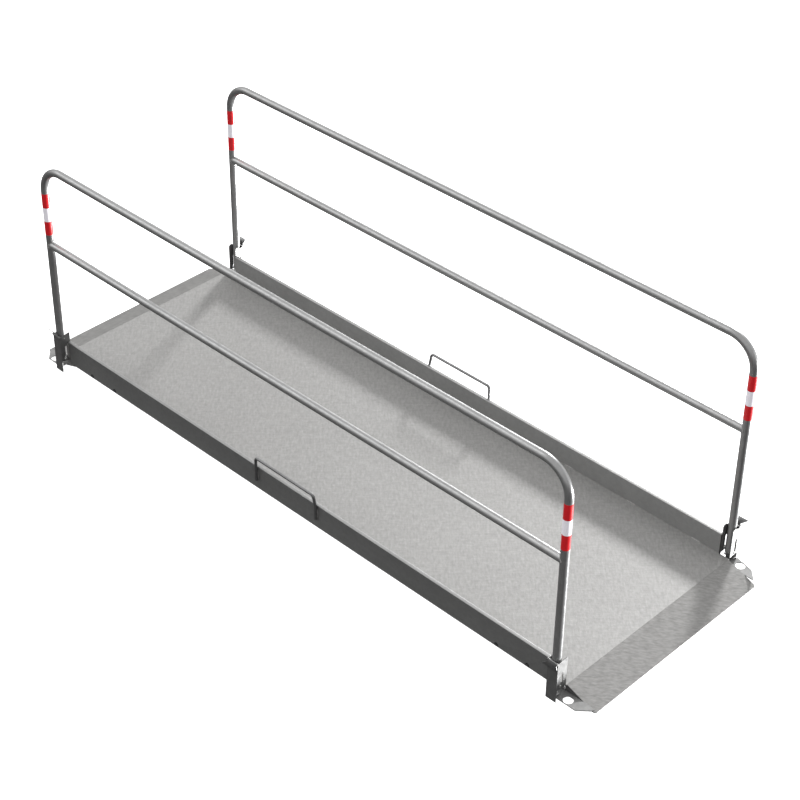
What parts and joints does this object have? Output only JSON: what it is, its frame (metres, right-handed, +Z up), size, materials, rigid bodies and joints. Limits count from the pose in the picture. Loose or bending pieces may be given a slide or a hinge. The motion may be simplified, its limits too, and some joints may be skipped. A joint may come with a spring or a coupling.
{
  "type": "trench footbridge",
  "caption": "Portable metal walkway with ramped ends, toe-board side beams, folding tube handrails with reflective bands, carry handles and anchor plates.",
  "frame": {"origin": "on the ground, under the middle of the walkway", "axes": "+X along the walkway, +Y across it towards the far handrail, +Z up"},
  "size_m": [3.18, 1.1102, 1.0518],
  "materials": {
    "deck_sheet": "fine embossed galvanised sheet, satin, light grey",
    "ramp_sheet": "galvanised sheet brushed across the ramp",
    "beam_sheet": "smooth folded galvanised sheet, satin grey",
    "galvanised_plate": "hot-dip galvanised plate, matt to satin",
    "galvanised_tube": "galvanised round tube and rod, satin with soft highlights",
    "plated_fastener": "zinc-plated pins and rings",
    "red_reflective_band": "red retro-reflective film",
    "white_reflective_band": "white retro-reflective film"
  },
  "bodies": {
    "walkway": {"deck_plate": "deck_sheet", "ramp_plate_left": "ramp_sheet", "ramp_plate_right": "ramp_sheet", "side_beam_near": "beam_sheet", "side_beam_far": "beam_sheet", "carry_handle_near": "galvanised_tube", "carry_handle_far": "galvanised_tube", "cross_rib_1": "galvanised_plate", "cross_rib_2": "galvanised_plate", "cross_rib_3": "galvanised_plate", "cross_rib_4": "galvanised_plate", "cross_rib_5": "galvanised_plate", "end_member_left": "galvanised_plate", "end_member_right": "galvanised_plate", "post_bracket_near_left": "galvanised_plate", "post_bracket_near_right": "galvanised_plate", "post_bracket_far_left": "galvanised_plate", "post_bracket_far_right": "galvanised_plate", "anchor_plate_near_left": "galvanised_plate", "anchor_plate_near_right": "galvanised_plate", "anchor_plate_far_left": "galvanised_plate", "anchor_plate_far_right": "galvanised_plate", "ramp_skirt_near_left": "ramp_sheet", "ramp_skirt_near_right": "ramp_sheet", "ramp_skirt_far_left": "ramp_sheet", "ramp_skirt_far_right": "ramp_sheet", "latch_pin_near_left": "plated_fastener", "latch_pin_near_right": "plated_fastener", "latch_pin_far_left": "plated_fastener", "latch_pin_far_right": "plated_fastener"},
    "near_pivot_pins": {"pivot_pin_near_left": "plated_fastener", "pivot_pin_near_right": "plated_fastener", "pivot_ring_near_left": "plated_fastener", "pivot_ring_near_right": "plated_fastener"},
    "near_handrail": {"rail_hoop_near": "galvanised_tube", "mid_rail_near": "galvanised_tube", "band_near_left_lower": "red_reflective_band", "band_near_left_middle": "white_reflective_band", "band_near_left_upper": "red_reflective_band", "band_near_right_lower": "red_reflective_band", "band_near_right_middle": "white_reflective_band", "band_near_right_upper": "red_reflective_band"},
    "far_pivot_pins": {"pivot_pin_far_left": "plated_fastener", "pivot_pin_far_right": "plated_fastener", "pivot_ring_far_left": "plated_fastener", "pivot_ring_far_right": "plated_fastener"},
    "far_handrail": {"rail_hoop_far": "galvanised_tube", "mid_rail_far": "galvanised_tube", "band_far_left_lower": "red_reflective_band", "band_far_left_middle": "white_reflective_band", "band_far_left_upper": "red_reflective_band", "band_far_right_lower": "red_reflective_band", "band_far_right_middle": "white_reflective_band", "band_far_right_upper": "red_reflective_band"},
    "latch_near_left": {"latch_lever_near_left": "galvanised_plate"},
    "latch_near_right": {"latch_lever_near_right": "galvanised_plate"},
    "latch_far_left": {"latch_lever_far_left": "galvanised_plate"},
    "latch_far_right": {"latch_lever_far_right": "galvanised_plate"}
  },
  "joints": [
    {"name": "near_rail_lift", "type": "slide", "parent": "walkway", "child": "near_pivot_pins", "axis": [0, 0.582, 0.8132], "range_m": [0, 0.0117]},
    {"name": "near_rail_fold", "type": "hinge", "parent": "near_pivot_pins", "child": "near_handrail", "pos_m": [0, -0.5173, 0.067], "axis": [-1, 0, 0], "range_deg": [0, 90]},
    {"name": "far_rail_lift", "type": "slide", "parent": "walkway", "child": "far_pivot_pins", "axis": [0, 0, 1], "range_m": [0, 0.048]},
    {"name": "far_rail_fold", "type": "hinge", "parent": "far_pivot_pins", "child": "far_handrail", "pos_m": [0, 0.5173, 0.067], "axis": [1, 0, 0], "range_deg": [0, 90]},
    {"name": "latch_near_left_turn", "type": "hinge", "parent": "walkway", "child": "latch_near_left", "pos_m": [-1.429, -0.5385, 0.187], "axis": [1, 0, 0], "range_deg": [0, 142]},
    {"name": "latch_near_right_turn", "type": "hinge", "parent": "walkway", "child": "latch_near_right", "pos_m": [1.429, -0.5385, 0.187], "axis": [1, 0, 0], "range_deg": [-142, 0]},
    {"name": "latch_far_left_turn", "type": "hinge", "parent": "walkway", "child": "latch_far_left", "pos_m": [-1.429, 0.5385, 0.187], "axis": [-1, 0, 0], "range_deg": [0, 142]},
    {"name": "latch_far_right_turn", "type": "hinge", "parent": "walkway", "child": "latch_far_right", "pos_m": [1.429, 0.5385, 0.187], "axis": [-1, 0, 0], "range_deg": [0, 142]}
  ],
  "couplings": [
    {"joint": "near_rail_lift", "follows": "near_rail_fold", "m_per_rad": 0.007436},
    {"joint": "far_rail_lift", "follows": "far_rail_fold", "m_per_rad": 0.0305}
  ]
}
